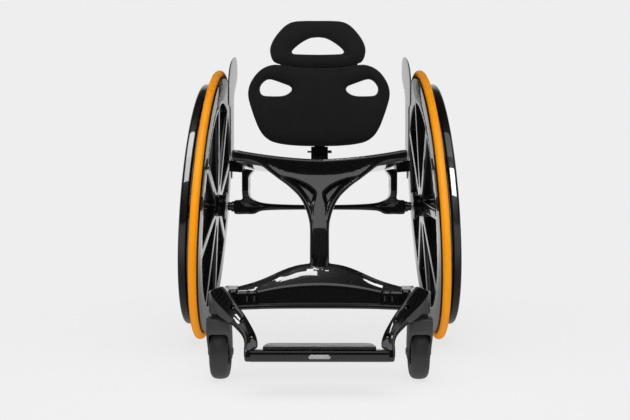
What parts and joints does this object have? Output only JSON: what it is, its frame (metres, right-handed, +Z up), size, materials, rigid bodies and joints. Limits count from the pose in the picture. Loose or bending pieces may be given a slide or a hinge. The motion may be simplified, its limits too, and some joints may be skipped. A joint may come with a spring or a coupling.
{
  "type": "wheelchair",
  "caption": "Rigid active wheelchair with cambered spoked rear wheels, handrims, swivelling casters, dished seat pan, footrest bar and a padded folding backrest.",
  "frame": {"origin": "on the floor, at the middle of the chair's overall footprint", "axes": "+Z up; the chair faces -Y; +X is the viewer's right when looking at the chair from the front"},
  "size_m": [0.598, 0.8868, 0.7241],
  "materials": {
    "aluminium": "turned aluminium",
    "black_anodised": "black anodised, satin",
    "black_knit": "black spacer knit over foam",
    "black_rubber": "matt black polyurethane tread",
    "gloss_carbon": "clear-coated black carbon fibre weave",
    "graphite_alloy": "dark grey satin coat",
    "orange_rubber": "smooth orange tyre rubber",
    "screw_steel": "passivated steel"
  },
  "bodies": {
    "chair_frame": {"axle_pin_left": "aluminium", "axle_pin_right": "aluminium", "axle_receiver_left": "aluminium", "axle_receiver_right": "aluminium", "backrest_pin": "aluminium", "backrest_socket": "black_anodised", "caster_bearing_left": "aluminium", "caster_bearing_right": "aluminium", "foot_plate": "graphite_alloy", "foot_tube": "gloss_carbon", "foot_tube_insert": "aluminium", "front_frame": "gloss_carbon", "guard_bracket_left": "black_anodised", "guard_bracket_right": "black_anodised", "leg_left": "gloss_carbon", "leg_right": "gloss_carbon", "leg_screw_left_1": "screw_steel", "leg_screw_left_2": "screw_steel", "leg_screw_left_3": "screw_steel", "leg_screw_right_1": "screw_steel", "leg_screw_right_2": "screw_steel", "leg_screw_right_3": "screw_steel", "rear_frame": "gloss_carbon", "seat_pan": "gloss_carbon"},
    "rear_wheel_left": {"rear_tyre_left": "orange_rubber", "carbon_wheel_left": "gloss_carbon", "hub_left": "black_anodised", "hub_bearing_inner_left": "aluminium", "hub_bearing_outer_left": "aluminium", "handrim_left": "gloss_carbon"},
    "release_button_left": {"release_button_left": "black_anodised"},
    "caster_swivel_left": {"caster_fork_left": "graphite_alloy", "stem_nut_left": "aluminium", "caster_axle_left": "aluminium"},
    "caster_wheel_left": {"caster_hub_left": "black_anodised", "caster_tyre_left": "black_rubber"},
    "side_guard_left": {"side_guard_left": "gloss_carbon"},
    "rear_wheel_right": {"rear_tyre_right": "orange_rubber", "carbon_wheel_right": "gloss_carbon", "hub_right": "black_anodised", "hub_bearing_inner_right": "aluminium", "hub_bearing_outer_right": "aluminium", "handrim_right": "gloss_carbon"},
    "release_button_right": {"release_button_right": "black_anodised"},
    "caster_swivel_right": {"caster_fork_right": "graphite_alloy", "stem_nut_right": "aluminium", "caster_axle_right": "aluminium"},
    "caster_wheel_right": {"caster_hub_right": "black_anodised", "caster_tyre_right": "black_rubber"},
    "side_guard_right": {"side_guard_right": "gloss_carbon"},
    "backrest": {"backrest_post": "gloss_carbon", "backrest_shell": "gloss_carbon", "backrest_pad": "black_knit", "upper_pad": "black_knit"}
  },
  "joints": [
    {"name": "rear_wheel_spin_left", "type": "hinge", "parent": "chair_frame", "child": "rear_wheel_left", "pos_m": [-0.2455, 0.1384, 0.30415], "axis": [0.9972, 0, -0.0745], "continuous": true},
    {"name": "axle_release_left", "type": "slide", "parent": "chair_frame", "child": "release_button_left", "axis": [0.9972, 0, -0.0745], "range_m": [0, 0.003], "stiffness_N_per_m": 600, "springref_m": -0.001},
    {"name": "caster_swivel_left", "type": "hinge", "parent": "chair_frame", "child": "caster_swivel_left", "pos_m": [-0.18, -0.3236, 0.116], "axis": [0, 0, 1], "continuous": true},
    {"name": "caster_wheel_spin_left", "type": "hinge", "parent": "caster_swivel_left", "child": "caster_wheel_left", "pos_m": [-0.18, -0.2916, 0.05], "axis": [1, 0, 0], "continuous": true},
    {"name": "side_guard_lift_left", "type": "slide", "parent": "chair_frame", "child": "side_guard_left", "axis": [0, 0, 1], "range_m": [0, 0.04]},
    {"name": "rear_wheel_spin_right", "type": "hinge", "parent": "chair_frame", "child": "rear_wheel_right", "pos_m": [0.2455, 0.1384, 0.30415], "axis": [0.9972, 0, 0.0745], "continuous": true},
    {"name": "axle_release_right", "type": "slide", "parent": "chair_frame", "child": "release_button_right", "axis": [-0.9972, 0, -0.0745], "range_m": [0, 0.003], "stiffness_N_per_m": 600, "springref_m": -0.001},
    {"name": "caster_swivel_right", "type": "hinge", "parent": "chair_frame", "child": "caster_swivel_right", "pos_m": [0.18, -0.3236, 0.116], "axis": [0, 0, 1], "continuous": true},
    {"name": "caster_wheel_spin_right", "type": "hinge", "parent": "caster_swivel_right", "child": "caster_wheel_right", "pos_m": [0.18, -0.2916, 0.05], "axis": [1, 0, 0], "continuous": true},
    {"name": "side_guard_lift_right", "type": "slide", "parent": "chair_frame", "child": "side_guard_right", "axis": [0, 0, 1], "range_m": [0, 0.04]},
    {"name": "backrest_fold", "type": "hinge", "parent": "chair_frame", "child": "backrest", "pos_m": [0, 0.1724, 0.4264], "axis": [1, 0, 0], "range_deg": [0, 66]}
  ]
}
